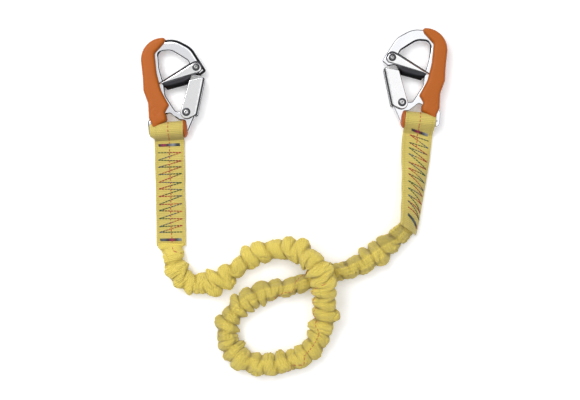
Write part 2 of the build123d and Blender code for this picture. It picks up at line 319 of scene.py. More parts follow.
gathered = {
    "route": [
        (-141.9, -123.1, 13.0), (-141.5, -144.5, 13.0), (-127.0, -166.0, 13.0), (-102.5, -174.0, 13.0),
        (-71.5, -157.0, 13.0), (-42.5, -134.0, 13.0), (-9.5, -128.5, 20.0), (20.0, -138.0, 42.0),
        (35.5, -166.5, 44.0), (37.0, -206.0, 22.0), (25.0, -241.0, 13.0), (-3.5, -261.0, 13.0),
        (-38.0, -265.5, 13.0), (-69.0, -252.0, 13.0), (-81.5, -221.0, 13.0), (-63.5, -193.0, 13.0),
        (-35.0, -178.0, 13.0), (-3.0, -174.5, 13.0), (31.5, -160.0, 13.0), (63.0, -154.0, 13.0),
        (91.5, -139.0, 13.0), (114.5, -119.0, 13.0), (130.5, -104.0, 13.0),
    ],
    "length": 0.706,
    "diameter": 0.026,
    "ringStep": 0.68,      # between rings along the tube
    "around": 90,          # points round it
    "seed": 21,
    "foldLength": 15.5,    # from one crest to the next
    "halfWidth": 9.4,      # at the bottom of a crease
    "halfHeight": 6.6,
    "lobe": (1.2, 8.4),    # how far a crest stands out at a side
    "topLobe": (0.8, 3.6),  # and on top
    "across": (-0.6, 0.9),  # where a side's folds begin and are full, -1 to 1 over the width
    "lean": 3.6,           # how far a crest leans along the tube
    "furthest": 18.3,      # no point is further than this from the line
    "wrinkle": 0.45,
    "dimples": ((11, 1.5, 61), (6.5, 0.8, 62)),  # spacing, depth and seed of the sharp dents
    "endWidth": 15.2,      # half width where the tube is sewn under a strap
    "endHeight": 3.6,
    "endTurn": 46.0,       # degrees that it turns to meet the right strap
}


# the points that a smooth curve through the route's control points passes, in millimetres
def curveLine(points):
    data = bpy.data.curves.new("route", "CURVE")
    data.dimensions = "3D"
    spline = data.splines.new("NURBS")
    spline.points.add(len(points) - 1)
    for point, place in zip(spline.points, points):
        point.co = (*(c * mm for c in place), 1.0)
    spline.order_u = 3
    spline.use_endpoint_u = True
    spline.resolution_u = 48
    holder = bpy.data.objects.new("route", data)
    scene.collection.objects.link(holder)
    bpy.context.view_layer.update()
    mesh = bpy.data.meshes.new_from_object(holder.evaluated_get(bpy.context.evaluated_depsgraph_get()))
    line = np.array([v.co for v in mesh.vertices]) / mm
    bpy.data.objects.remove(holder)
    return line


# even steps along a line: places at equal distances by linear interpolation
def evenLine(line, count):
    run = np.concatenate([[0], np.cumsum(np.linalg.norm(np.diff(line, axis=0), axis=1))])
    steps = np.linspace(0, run[-1], count)
    return steps, np.stack([np.interp(steps, run, line[:, k]) for k in range(3)], 1)


tubeLine = curveLine(gathered["route"])
tubeRun, tubeSpine = evenLine(tubeLine, 2000)
tubeAhead = unit(np.gradient(tubeSpine, axis=0))
tubeLength = tubeRun[-1]
foldRun = {way: np.cumsum(2 * math.pi / (gathered["foldLength"] * (1 + 0.36 * lineNoise(tubeRun, 27, seed)))
                          * np.gradient(tubeRun)) for way, seed in ((1, 3), (-1, 8))}


# how far the tube lies below its line: more at the left end and over the crossing, none at the right
def lineDrop(run, height):
    drop = 3.0 + 5.6 * smooth(34, 0, run) + 3.4 * smooth(18, 34, height)
    return drop * (1 - smooth(40, 6, tubeLength - run))


# point of the gathered surface at a distance along the tube and an angle round it, lifted off it:
# an oval whose half sizes grow by |cos(phase / 2)| folds. The phase runs along the tube and slants
# across it, each crest has its own reach at either side and on top, and leans along the tube
def gatheredSurface(run, turn, lift=0.0):
    run, turn = np.broadcast_arrays(run, turn)
    spine = np.stack([np.interp(run, tubeRun, tubeSpine[:, k]) for k in range(3)], -1)
    ahead = unit(np.stack([np.interp(run, tubeRun, tubeAhead[:, k]) for k in range(3)], -1))
    up = unit(np.array([0, 0, 1.0]) - ahead * ahead[..., 2:3])
    side = np.cross(up, ahead)
    c, s = np.cos(turn), np.sin(turn)
    ends = np.minimum(smooth(0, 13, run), smooth(0, 20, tubeLength - run))
    rng = np.random.default_rng(gathered["seed"])
    sway = 0.6 * sheetNoise(run, turn * 9, 15, 13)
    grow, top, lean, deep = 0.0, 0.0, 0.0, 0.0
    for way, seed in ((1, 11), (-1, 12)):
        slant = 2.2 * lineNoise(run, 40, seed)
        phase = np.interp(run, tubeRun, foldRun[way]) + slant * (1 - way * c) + sway
        k = np.floor((phase + math.pi) / (2 * math.pi)).astype(int) % 400
        fold = np.abs(np.cos(phase / 2)) ** 0.58
        share = smooth(*gathered["across"], way * c)
        grow = grow + rng.uniform(*gathered["lobe"], 400)[k] * fold * share * np.abs(c) ** 0.5
        top = top + rng.uniform(*gathered["topLobe"], 400)[k] * fold * (0.25 + 0.75 * share)
        lean = lean + rng.uniform(-1, 1, 400)[k] * gathered["lean"] * fold * share
        # painted shade: deep grows to 1 at the bottom of each crease and is returned as the mark that darkens
        # the cloth there
        deep = deep + (1 - smooth(0.1, 0.7, fold)) * share
    small = gathered["wrinkle"] * (np.sin(run * 1.25 + 2.2 * c + 4 * lineNoise(run, 12, 31))
                                   * (0.5 + 0.5 * sheetNoise(run, turn * 11, 9, 33)))
    small = small + 0.4 * sheetNoise(run, turn * 10, 4.5, 34)
    for step, size, seed in gathered["dimples"]:
        small = small - size * np.exp(-np.abs(sheetNoise(run * 1.3 + 3 * c, turn * 8, step, seed)) / 0.11)
    grow = grow * ends + small * (0.25 + 0.75 * ends)
    top = top * np.abs(s) * ends
    width = gathered["halfWidth"] + 1.0 * lineNoise(run, 60, 41)
    width = width + (gathered["endWidth"] - width) * (1 - ends)
    height = gathered["halfHeight"] + 0.6 * lineNoise(run, 50, 42)
    height = height + (gathered["endHeight"] - height) * (1 - ends)
    x = (width + grow + lift) * np.sign(c) * np.abs(c) ** 0.86
    z = (height + top + small + lift) * np.sign(s) * np.abs(s) ** 0.92
    roll = math.radians(gathered["endTurn"]) * smooth(46, 4, tubeLength - run)
    x, z = x * np.cos(roll) - z * np.sin(roll), x * np.sin(roll) + z * np.cos(roll)
    drop = lineDrop(run, spine[..., 2])
    point = spine + side * x[..., None] + up * (z - drop)[..., None] + ahead * (lean * ends)[..., None]
    away = point - spine
    point = spine + away * np.minimum(1, gathered["furthest"] / np.linalg.norm(away, axis=-1))[..., None]
    ease = 2.5
    least = 0.25 + ease
    eased = least - ease + ease * np.exp((point[..., 2] - least) / ease)
    point[..., 2] = np.where(point[..., 2] < least, eased, point[..., 2])
    return point, np.clip(deep, 0, 1) * ends


rings = int(tubeLength / gathered["ringStep"])
turns = np.arange(gathered["around"]) * 2 * math.pi / gathered["around"] - math.pi / 2
runGrid, turnGrid = np.meshgrid(np.linspace(0, tubeLength, rings), turns, indexing="ij")
tubeGrid, paintedCreaseShadeMark = gatheredSurface(runGrid, turnGrid)
clothRun = np.cumsum(np.linalg.norm(np.diff(tubeGrid, axis=0, prepend=tubeGrid[:1]), axis=2), axis=0)
clothRun = clothRun * 0.35 + runGrid * 0.9
patternGrid = np.stack([np.repeat(np.arange(gathered["around"] + 1)[None] * 0.85, rings, 0),
                        np.concatenate([clothRun, clothRun[:, :1]], 1)], -1)
gatheredCloth = ringSkin("gatheredCloth", tubeGrid, gatheredYellow, patternGrid, {"crease": paintedCreaseShadeMark})
print("gathered tube made:", round(tubeLength, 1), "mm long")

# round elastic cord inside the tube: a circle carried along the same line
coreRun, coreSpine = evenLine(tubeLine, 260)
coreAhead = unit(np.gradient(coreSpine, axis=0))
coreSide = unit(np.cross(np.array([0, 0, 1.0]), coreAhead))
coreUp = np.cross(coreAhead, coreSide)
coreDrop = lineDrop(coreRun, coreSpine[:, 2])
coreTurn = np.arange(20) * 2 * math.pi / 20
coreEnds = smooth(22, 0, coreRun) + smooth(tubeLength - 22, tubeLength, coreRun)
coreRadius = (4.5 - 2.2 * coreEnds)[:, None, None]
coreGrid = (coreSpine - coreUp * coreDrop[:, None])[:, None] + coreRadius * (
    coreSide[:, None] * np.cos(coreTurn)[None, :, None] + coreUp[:, None] * np.sin(coreTurn)[None, :, None])
elasticCore = ringSkin("elasticCore", coreGrid, elasticRubber)


# short rounded stitches: each is an oval carried along a straight chord that swells between its ends.
# starts and ends are points, out is the way each stitch stands off the cloth
def stitchBeads(name, starts, ends, out, thick, material, runs=None):
    t = np.array([0.0, 0.04, 0.3, 0.7, 0.96, 1.0])
    swell = np.array([0.25, 0.8, 1.0, 1.0, 0.8, 0.25])
    turn = np.arange(6) * math.pi / 3
    ahead = unit(ends - starts)
    out = unit(out - ahead * np.sum(out * ahead, -1, keepdims=True))
    side = np.cross(out, ahead)
    middle = starts[:, None] + (ends - starts)[:, None] * t[None, :, None]
    radius = thick / 2 * swell[None, :, None, None]
    ring = side[:, None, None] * np.cos(turn)[None, None, :, None] \
        + out[:, None, None] * np.sin(turn)[None, None, :, None] * 0.8
    points = middle[:, :, None] + radius * ring
    count, rows, cols = points.shape[:3]
    base = np.arange(count)[:, None] * rows * cols
    quads, caps = ringFaces(rows, cols)[:2]
    faces = (base[:, None] + quads[None]).reshape(-1, 4).tolist()
    lids = (base[None] + caps[:, None]).reshape(-1, cols).tolist()
    marks = None if runs is None else {"run": np.repeat(runs, rows * cols)}
    return meshPiece(name, points.reshape(-1, 3), faces + lids, material, None, marks)


tracer = {"stitch": 2.6, "gap": 1.5, "thick": 0.95,
          "wander": [(4, 1.5), (10, 1.4), (22, -0.9), (236, -1.2), (246, 2.6), (262, 2.85), (290, 2.55),
                     (305, 1.7), (325, 1.6), (340, 1.5), (348, 0.8), (357, 1.2), (366, -0.6), (515, -2.4),
                     (527, -3.4), (530, 2.8), (541, 2.0), (552, 2.1), (554, 1.35), (572, 0.55), (584, -0.5),
                     (700, -1.0)]}
tracerStart = np.arange(5, tubeLength - 6, tracer["stitch"] + tracer["gap"])
wanderRun, wanderTurn = np.array(tracer["wander"]).T
startTurn = np.interp(tracerStart, wanderRun, wanderTurn)
endTurn = np.interp(tracerStart + tracer["stitch"], wanderRun, wanderTurn)
dashStart = gatheredSurface(tracerStart, startTurn, 0.25)[0]
dashEnd = gatheredSurface(tracerStart + tracer["stitch"], endTurn, 0.25)[0]
dashOut = gatheredSurface(tracerStart, startTurn, 1.5)[0] - dashStart
tracerDashes = stitchBeads("tracerDashes", dashStart, dashEnd, dashOut, tracer["thick"], redThread)


strap = {"width": 34.0, "layer": 2.2, "barHeight": 9.0, "roll": 7.9}
ends = {
    "left": {"eye": (-143.7, 7.4), "shift": -0.5, "turn": 1.0, "tilt": 4.5, "reach": 134.0,
             "spine": -1, "flare": 4.6, "flatFrom": 11.4, "rollCreaseShade": 0.5,
             "rows": 12, "first": 26.4, "rowPitch": 8.45, "halfSpan": 13.4, "aside": (0.0, 0.0),
             "shear": (0.0, 0.0), "tackAt": (17.6, 127.0)},
    "right": {"eye": (143.7, 18.5), "shift": 0.5, "turn": -6.0, "tilt": -4.5, "reach": 127.0,
              "flare": 0.8, "flatFrom": 16.0, "rollCreaseShade": 0.15,
              "rows": 12, "first": 20.5, "rowPitch": 7.9, "halfSpan": 11.2, "aside": (2.2, 0.6),
              "shear": (0.24, 0.5), "tackAt": (14.2, 115.0), "spine": 1, "curl": -30.0,
              "heading": -96.0, "endHeading": -124.0, "leave": (94, 108, 126), "leaveLength": 15.5,
              "twist": [(15, 0), (24, -3), (40, -12), (58, -23), (76, -33), (94, -41), (108, -45),
                        (126, -46)]},
}


# a strap's own place (distance from the bar, across, height off the mid layer) in the shared frame.
# the left one lies flat along a straight line; the right one turns about its length, its section
# bends in an arc, and past the first of its leave distances its line bends to the tube's end
def strapPlace(side, distance, across, off):
    e = ends[side]
    distance, across, off = np.broadcast_arrays(distance, across, off)
    a = math.radians(e["turn"])
    line = np.stack([e["eye"][0] + e["shift"] + distance * math.sin(a),
                     e["eye"][1] - distance * math.cos(a)], -1)
    if side == "left":
        tilt = math.radians(e["tilt"]) * (1 - smooth(4, 30, distance)) + a * smooth(4, 30, distance)
        x = line[..., 0] + across * np.cos(tilt)
        y = line[..., 1] + across * np.sin(tilt)
        return np.stack([x, y, strap["layer"] + off], -1)
    bars, turned = np.array(e["twist"], float).T
    first, leave, last = e["leave"]
    endPoint = np.array(gathered["route"][-1][:2])
    flatPoint = np.array(e["eye"]) + np.array([e["shift"] + leave * math.sin(a), -leave * math.cos(a)])
    past = smooth(first, last, distance)
    onward = flatPoint + (endPoint - flatPoint) * ((distance - leave) / e["leaveLength"])[..., None]
    line = line * (1 - past[..., None]) + onward * past[..., None]
    turnOff = e["endHeading"] - e["heading"]
    heading = math.radians(e["heading"]) + math.radians(turnOff) * smooth(first + 2, last + 2, distance)
    barHeading = math.radians(-90 + e["tilt"])
    heading = heading + (barHeading - heading) * (1 - smooth(4, 24, distance))
    twist = np.radians(np.interp(distance, bars, turned))
    bend = math.radians(e["curl"]) * smooth(18, 70, distance) / (strap["width"] / 2)
    bend = np.minimum(bend, -1e-6)
    angle = twist + bend * across
    half = strap["width"] / 2
    centred = (np.sin(twist + bend * half) + np.sin(twist - bend * half)) / 2
    flatX = (np.sin(angle) - centred) / bend
    lift = (np.cos(twist) - np.cos(angle)) / bend
    acrossX, acrossY = -np.sin(heading), np.cos(heading)
    sideways = flatX - off * np.sin(angle)
    rise = strap["layer"] * np.cos(twist) - (np.cos(twist) - np.cos(twist + bend * half)) / bend
    x = line[..., 0] + acrossX * sideways
    y = line[..., 1] + acrossY * sideways
    z = rise + lift + off * np.cos(angle)
    return np.stack([x, y, np.maximum(z, 0.15)], -1)


# path of the doubled webbing seen from its edge, as (distance, height off the mid layer): along the
# top layer to the bar, round the bar, and back along the bottom layer
def doubledPath(side):
    reach, flatFrom = ends[side]["reach"], ends[side]["flatFrom"]
    half = strap["layer"] / 2
    centre = strap["barHeight"] - strap["layer"]
    far = math.hypot(flatFrom, half - centre)
    up = math.atan2(half - centre, flatFrom) + math.acos(strap["roll"] / far)
    down = math.atan2(-half - centre, flatFrom) - math.acos(strap["roll"] / far)
    turn = np.linspace(up, 2 * math.pi + down, 60)
    arc = np.stack([strap["roll"] * np.cos(turn), centre + strap["roll"] * np.sin(turn)], 1)
    front = [[reach, half], [flatFrom + 6, half], [flatFrom, half + 0.25]]
    back = [[flatFrom, -half], [reach, -half]]
    line = np.concatenate([front, arc, back])
    run = np.concatenate([[0], np.cumsum(np.linalg.norm(np.diff(line, axis=0), axis=1))])
    steps = np.arange(0, run[-1], 0.9)
    return steps, np.stack([np.interp(steps, run, line[:, k]) for k in range(2)], 1)


# the webbing's own section, a flat strip with round edges, carried along the doubled path. Its edges
# wave a little, and the loop flares towards the hook's spine where it is high
def strapCloth(side):
    e = ends[side]
    steps, path = doubledPath(side)
    ahead = unit(np.gradient(path, axis=0))
    out = np.stack([ahead[:, 1], -ahead[:, 0]], 1)
    half, edge = strap["width"] / 2, strap["layer"] / 2 * 0.96
    flat = np.linspace(-half + edge, half - edge, 30)
    cap = np.linspace(-math.pi / 2, math.pi / 2, 9)[1:-1]
    sectionX = np.concatenate([flat, half - edge + edge * np.cos(cap[::-1]), flat[::-1],
                               -half + edge - edge * np.cos(cap)])
    sectionZ = np.concatenate([np.full(30, edge), edge * np.sin(cap[::-1]), np.full(30, -edge),
                               edge * np.sin(cap)])
    sectionZ = sectionZ * (1 - 0.12 * np.exp(-((np.abs(sectionX) - half + 2.6) / 0.7) ** 2))
    s, x = np.meshgrid(steps, sectionX, indexing="ij")
    seed = 51 if side == "left" else 71
    x = x + 0.35 * np.sign(x) * smooth(8, 17, np.abs(x)) * lineNoise(s, 13, seed)
    distance = path[:, 0][:, None] + out[:, 0][:, None] * sectionZ[None]
    off = path[:, 1][:, None] + out[:, 1][:, None] * sectionZ[None]
    off = off + 0.22 * sheetNoise(path[:, 0][:, None] + 0 * x, x, 13, seed + 1) * smooth(14, 30, distance)
    high = smooth(5.0, 13.0, off)
    flare = e["flare"] * high * smooth(6, 17, x * e["spine"])
    pinch = e["flare"] * 0.35 * high * smooth(9, 20, x * e["spine"])
    x = x + flare * e["spine"]
    grid = strapPlace(side, distance, x, off - pinch)
    u = np.concatenate([sectionX, sectionX[:1]])
    pattern = np.stack(np.meshgrid(steps, u, indexing="ij")[::-1], -1)
    # painted shade: a dark line along the groove by each edge, and across the top layer where the roll meets
    # it
    crease = np.exp(-((np.abs(x) - half + 2.8) / 0.8) ** 2) * 0.25 + 0 * s
    rollShade = np.exp(-((distance - 10.6) / 1.3) ** 2) * (off > 0) * e["rollCreaseShade"]
    return ringSkin(side + "StrapCloth", grid, strapYellow, pattern, {"crease": crease + rollShade})


leftStrapCloth = strapCloth("left")
rightStrapCloth = strapCloth("right")

seam = {
    "stitch": 3.0, "gap": 0.45, "thick": 1.15,
    "tackHeight": 3.4, "tackStep": 0.62, "tackStitch": 9.0, "centreStitch": 2.6, "centreStep": 4.2,
    "sunk": 0.16,       # a thread's middle is this far off the cloth
    "colourRun": 62.0,  # length of thread over which its colours come round again
}


# a broken line cut into stitches: starts and ends at even steps along each chord
def chopLine(corners, stitch, gap):
    starts, stops, runs, run = [], [], [], 0.0
    for a, b in zip(corners[:-1], corners[1:]):
        a, b = np.array(a), np.array(b)
        long = np.linalg.norm(b - a)
        count = max(1, round(long / (stitch + gap)))
        t = np.arange(count) / count
        starts.append(a + (b - a) * t[:, None])
        stops.append(a + (b - a) * (t + (stitch / (stitch + gap)) / count)[:, None])
        runs.append(run + t * long)
        run += long
    return np.concatenate(starts), np.concatenate(stops), np.concatenate(runs)


# zigzag of one level leg and one slanted leg to each row, a tight tack at each end and a line down
# the middle, laid on the strap's top layer
def strapThreads(side, centreFrom):
    e = ends[side]
    span = e["halfSpan"]
    way = 1 if side == "left" else -1

    # the rows stand aslant on the strap and drift to one side: both grow evenly along it
    def slanted(corners):
        d, x = np.array(corners).T
        share = smooth(14, 117, d)
        aside = e["aside"][0] + (e["aside"][1] - e["aside"][0]) * share
        return np.stack([d + x * (e["shear"][0] + (e["shear"][1] - e["shear"][0]) * share), x + aside], 1)

    zigzag = []
    for row in range(e["rows"]):
        d = e["first"] + row * e["rowPitch"] * (1 + 0.012 * math.sin(row * 2.1))
        zigzag += [(d, -span * way), (d + 1.2 * math.sin(row * 1.7), span * way)]
    lines = [chopLine(slanted(zigzag), seam["stitch"], seam["gap"])]
    height, wide = seam["tackHeight"], span - 1.0
    for at in e["tackAt"]:
        count = int(2 * wide / seam["tackStep"])
        tack = [(at + (height / 2 if k % 2 else -height / 2), -wide + k * seam["tackStep"])
                for k in range(count)]
        starts, stops, runs = chopLine(slanted(tack), seam["tackStitch"], 0.0)
        lines.append((starts, stops, runs * 0.33 + at))
    steps, path = doubledPath(side)
    top = path[:int(np.argmax(path[:, 1]))][::-1]

    # threads lie on the top layer, which climbs to the bar
    def laid(points, extra=0.0):
        off = np.interp(points[:, 0], top[:, 0], top[:, 1]) + strap["layer"] / 2 + seam["sunk"]
        return strapPlace(side, points[:, 0], points[:, 1], off + extra)

    made = []
    for kind, (starts, stops, runs) in zip(("Zigzag", "TopTack", "EndTack"), lines):
        a, b = laid(starts), laid(stops)
        out = laid(starts, 1) - a
        thread = mixedThread if kind == "Zigzag" else tackThread
        made.append(stitchBeads(side + kind, a, b, out, seam["thick"], thread,
                                runs / seam["colourRun"] + 0.1))
    ahead = unit(np.gradient(path, axis=0))
    face = path + np.stack([ahead[:, 1], -ahead[:, 0]], 1) * (strap["layer"] / 2 + seam["sunk"])
    starts = np.arange(centreFrom, e["reach"] + 16, seam["centreStep"])
    rows = [[np.interp(starts + extra, steps, face[:, k]) for k in range(2)]
            for extra in (0, seam["centreStitch"])]
    across = 0.5 + 0.8 * lineNoise(starts, 30, 5)
    a, b = [strapPlace(side, row[0], across, row[1]) for row in rows]
    out = strapPlace(side, rows[0][0], across, rows[0][1] + 1) - a
    made.append(stitchBeads(side + "Tracer", a, b, out + [0, 0, 0.01], seam["thick"], redThread))
    return made


leftThreads = strapThreads("left", 4)
rightThreads = strapThreads("right", 96)
print("straps and threads made")

# closed outline in the hook's own frame from (x, y, radius) corners: straight runs joined by arcs
def roundedOutline(corners, least):
    spots = np.array([c[:2] for c in corners], float)
    before, after = np.roll(spots, 1, 0), np.roll(spots, -1, 0)
    if np.sum(before[:, 0] * spots[:, 1] - spots[:, 0] * before[:, 1]) < 0:
        return roundedOutline(corners[::-1], least)
    pieces = []
    for spot, a, b, radius in zip(spots, unit(before - spots), unit(after - spots), [c[2] for c in corners]):
        half = math.acos(np.clip(a @ b, -1, 1)) / 2
        radius = max(radius, least)
        centre = spot + unit(a + b) * radius / math.sin(half)
        first, last = spot + a * radius / math.tan(half), spot + b * radius / math.tan(half)
        start = math.atan2(*(first - centre)[::-1])
        sweep = (math.atan2(*(last - centre)[::-1]) - start + math.pi) % (2 * math.pi) - math.pi
        turn = start + sweep * np.linspace(0, 1, max(3, int(abs(sweep) * radius / 0.8) + 3))
        pieces.append(centre + radius * np.stack([np.cos(turn), np.sin(turn)], 1))
    line = np.concatenate(pieces)
    line = np.concatenate([line, line[:1]])
    run = np.concatenate([[0], np.cumsum(np.linalg.norm(np.diff(line, axis=0), axis=1))])
    count = int(run[-1] / 0.9)
    even = np.arange(count) * run[-1] / count
    return np.stack([np.interp(even, run, line[:, k]) for k in range(2)], 1)


# how far each point is from an outline's runs, and the nearest place on it
def nearestOnOutline(points, outline):
    a = outline[None]
    b = np.roll(outline, -1, 0)[None] - a
    t = np.clip(np.sum((points[:, None] - a) * b, -1) / np.sum(b * b, -1), 0, 1)
    foot = a + b * t[..., None]
    far = np.linalg.norm(points[:, None] - foot, axis=-1)
    best = np.argmin(far, 1)
    rows = np.arange(len(points))
    return far[rows, best], foot[rows, best]


# height lost at an inset from the rim: the integral of the tangent of a slope given at a few insets
def rimDrop(inset, slopes):
    x = np.linspace(0, slopes[-1][0], 200)
    tilt = np.radians(np.interp(x, [a for a, _ in slopes], [b for _, b in slopes]))
    lost = np.concatenate([[0], np.cumsum((np.tan(tilt[1:]) + np.tan(tilt[:-1])) / 2 * np.diff(x))])
    return lost[-1] - np.interp(inset, x, lost)


# plate between two heights whose faces fall away to the rim: both faces are one triangle net over the
# outline and its insets, lowered by rimDrop of the distance to the rim, joined by a wall
def plateParts(corners, low, high, slopes, under=None, weight=None, least=0.8, shape=None, lift=None,
               underWeight=None):
    rim = roundedOutline(corners, least)
    middle = np.linspace(0, slopes[-1][0], 9)[1:]
    ahead = unit(np.roll(rim, -1, 0) - np.roll(rim, 1, 0))
    inward = np.stack([-ahead[:, 1], ahead[:, 0]], 1)
    rows = [rim]
    for inset in middle:
        row = rim + inward * inset
        keep = nearestOnOutline(row, rim)[0] > inset * 0.97
        rows.append(row[keep])
    lowest, highest = rim.min(0), rim.max(0)
    gx, gy = np.meshgrid(np.arange(lowest[0], highest[0], 1.9), np.arange(lowest[1], highest[1], 1.9))
    inner = np.stack([gx.ravel(), gy.ravel()], 1)
    inner = inner[nearestOnOutline(inner, rim)[0] > slopes[-1][0] + 0.7]
    net = np.concatenate([*rows, inner])
    loop = list(range(len(rim)))
    spots, _, triangles, _, _, _ = delaunay_2d_cdt([Vector(p) for p in net], [], [loop], 1, 1e-4)
    net = np.array(spots)
    triangles = np.array(triangles)
    far, foot = nearestOnOutline(net, rim)
    size = np.ones(len(net)) if weight is None else weight(foot)
    underSize = size if underWeight is None else underWeight(foot)
    topZ = high - rimDrop(far / size, slopes) * size
    if shape is not None:
        topZ = topZ + shape(net, far)
    lowZ = low + (rimDrop(far / underSize, slopes) * underSize if under is None else rimDrop(far, under))
    if lift is not None:
        lowZ = np.maximum(lowZ, lift(net))
        topZ = np.maximum(topZ, lowZ + 0.05)
    n = len(net)
    order = np.array([int(np.argmin(np.sum((net - p) ** 2, 1))) for p in rim])
    nxt = np.roll(order, -1)
    wall = np.stack([order + n, nxt + n, nxt, order], 1)
    points = np.concatenate([np.column_stack([net, topZ]), np.column_stack([net, lowZ])])
    return points, triangles.tolist() + (triangles[:, ::-1] + n).tolist() + wall.tolist()


# turned part: a profile of (radius, height) carried round an upright line; it starts and ends on it
def turnedParts(profile, at, around=48):
    radius, height = np.array(profile, float).T
    turn = np.arange(around) * 2 * math.pi / around
    grid = np.stack([at[0] + radius[:, None] * np.cos(turn), at[1] + radius[:, None] * np.sin(turn),
                     height[:, None] + 0 * turn], -1)
    return gridParts(grid)


# closed skin over rings of points, with a cap on each end ring
def gridParts(grid):
    quads, caps = ringFaces(*grid.shape[:2])[:2]
    return grid.reshape(-1, 3), quads.tolist() + caps.tolist()


# the same part turned over to the other face of the hook
def otherFace(parts):
    points, faces = parts
    return points * np.array([1, 1, -1]), [face[::-1] for face in faces]


# several parts as one list of points and faces
def joined(*several):
    points, faces, count = [], [], 0
    for p, f in several:
        points.append(p)
        faces += [[k + count for k in face] for face in f]
        count += len(p)
    return np.concatenate(points), faces


# a hook's own frame in the shared frame; the right hook lies turned over about its long way
def hookPlace(side, points):
    e = ends[side]
    way = 1 if side == "left" else -1
    x, y, z = points[:, 0] * way, points[:, 1], points[:, 2] * way
    a = math.radians(e["tilt"])
    return np.stack([e["eye"][0] + x * math.cos(a) - y * math.sin(a),
                     e["eye"][1] + x * math.sin(a) + y * math.cos(a), strap["barHeight"] + z], 1)


# one piece of a hook: placed on its side, riding a body and standing for the CAD nodes named last
def hookPiece(side, name, parts, material, body, slot, *nodes, marks=None):
    points, faces = parts
    piece = meshPiece(side + name, hookPlace(side, points), faces, material, marks=marks)
    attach(piece, side + "_" + body)
    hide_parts(*[side + "_" + node for node in nodes])


forging = {
    "half": 4.0, "barRadius": 4.2, "bossRadius": 5.2, "bossHalf": 6.0, "bossAt": (21.7, 18.0),
    "rim": [(0, 80), (0.35, 40), (3.0, 31), (3.7, 0)],  # (inset, slope in degrees) of the chamfer
    "oval": (10, 55, 22, 41),  # middle and half sizes: the outer edge is outside it
    "outline": [
        (-18.2, -7.0, 0.8), (-23.6, -6.0, 4.5), (-23.6, 10.5, 6.0), (-18.4, 17.5, 4.0), (-18.2, 32.0, 10.0),
        (-22.4, 46.0, 12.0), (-22.6, 102.6, 22.0), (15.5, 103.2, 26.0), (33.2, 92.0, 24.0), (48.4, 63.4, 2.6),
        (41.2, 58.6, 2.4), (31.0, 61.0, 2.4), (28.4, 76.6, 8.0), (9.5, 90.2, 14.0), (-5.4, 90.2, 6.5),
        (-5.5, 70.5, 30.0), (-1.5, 51.0, 20.0), (-1.2, 39.6, 12.0), (9.6, 19.4, 5.0), (24.5, 19.4, 1.5),
        (31.8, 14.6, 2.5), (23.0, -2.0, 6.0), (19.4, -7.0, 0.8), (19.2, 8.6, 2.0), (12.6, 9.5, 3.0),
        (2.2, 18.6, 2.6), (-12.0, 12.6, 4.0), (-18.2, 9.6, 1.5)],
}
grip = {
    "half": 9.0, "clear": 9.35, "ringAt": (-13.3, 21.2), "ring": 4.9, "ringDepth": 0.45,
    "rim": [(0, 78), (0.8, 55), (1.9, 28), (3.2, 9), (5.5, 2), (7.5, 0)],
    "outline": [
        (-17.4, 3.4, 1.6), (-21.8, 14.0, 5.0), (-21.2, 31.5, 14.0), (-25.6, 46.5, 10.0), (-25.0, 60.0, 40.0),
        (-26.4, 105.6, 25.0), (5.2, 105.0, 2.6), (2.6, 99.0, 3.0), (-9.4, 87.6, 4.0), (-9.0, 66.0, 40.0),
        (-5.6, 45.5, 30.0), (2.6, 27.4, 2.6), (-2.6, 20.0, 2.6), (-1.2, 10.0, 4.0)],
}
lever = {
    "inner": 4.4, "outer": 5.9, "pinAt": (36.7, 68.5), "rim": [(0, 78), (0.2, 40), (1.25, 35), (1.5, 0)],
    "cheek": [(40.3, 76.4, 6.2), (28.9, 71.7, 6.0), (-6.6, 53.1, 0.6), (-6.8, 51.9, 0.6), (41.0, 62.6, 3.0),
              (44.6, 64.9, 5.0)],
    "keelTop": ((-4.0, 52.7), (30.2, 60.3)), "keelFoot": ((1.5, 45.3), (26.6, 50.0)), "keelFloor": 0.9,
    "shadeLiner": (-0.4, 0.75), "shadeLinerGrow": 0.8, "paintedPinRing": 4.4,
}
gate = {
    "inner": 6.3, "outer": 7.8, "pinAt": (21.7, 18.0), "rim": [(0, 70), (0.2, 40), (1.6, 35), (1.9, 0)],
    "cheek": [(29.0, 12.7, 1.2), (33.4, 13.8, 0.8), (43.4, 48.4, 6.0), (45.6, 56.6, 1.2), (27.9, 54.4, 1.2),
              (13.9, 16.0, 6.5), (19.5, 9.3, 6.5)],
    "web": [(33.0, 14.2, 0.3), (43.0, 48.6, 5.0), (44.6, 54.6, 0.5), (43.1, 54.6, 0.5), (41.5, 48.8, 5.0),
            (31.4, 14.4, 0.3)],
    "shadeLiner": (0.25, -0.45), "shadeLinerGrow": 0.1, "paintedPinRing": 4.8,
}


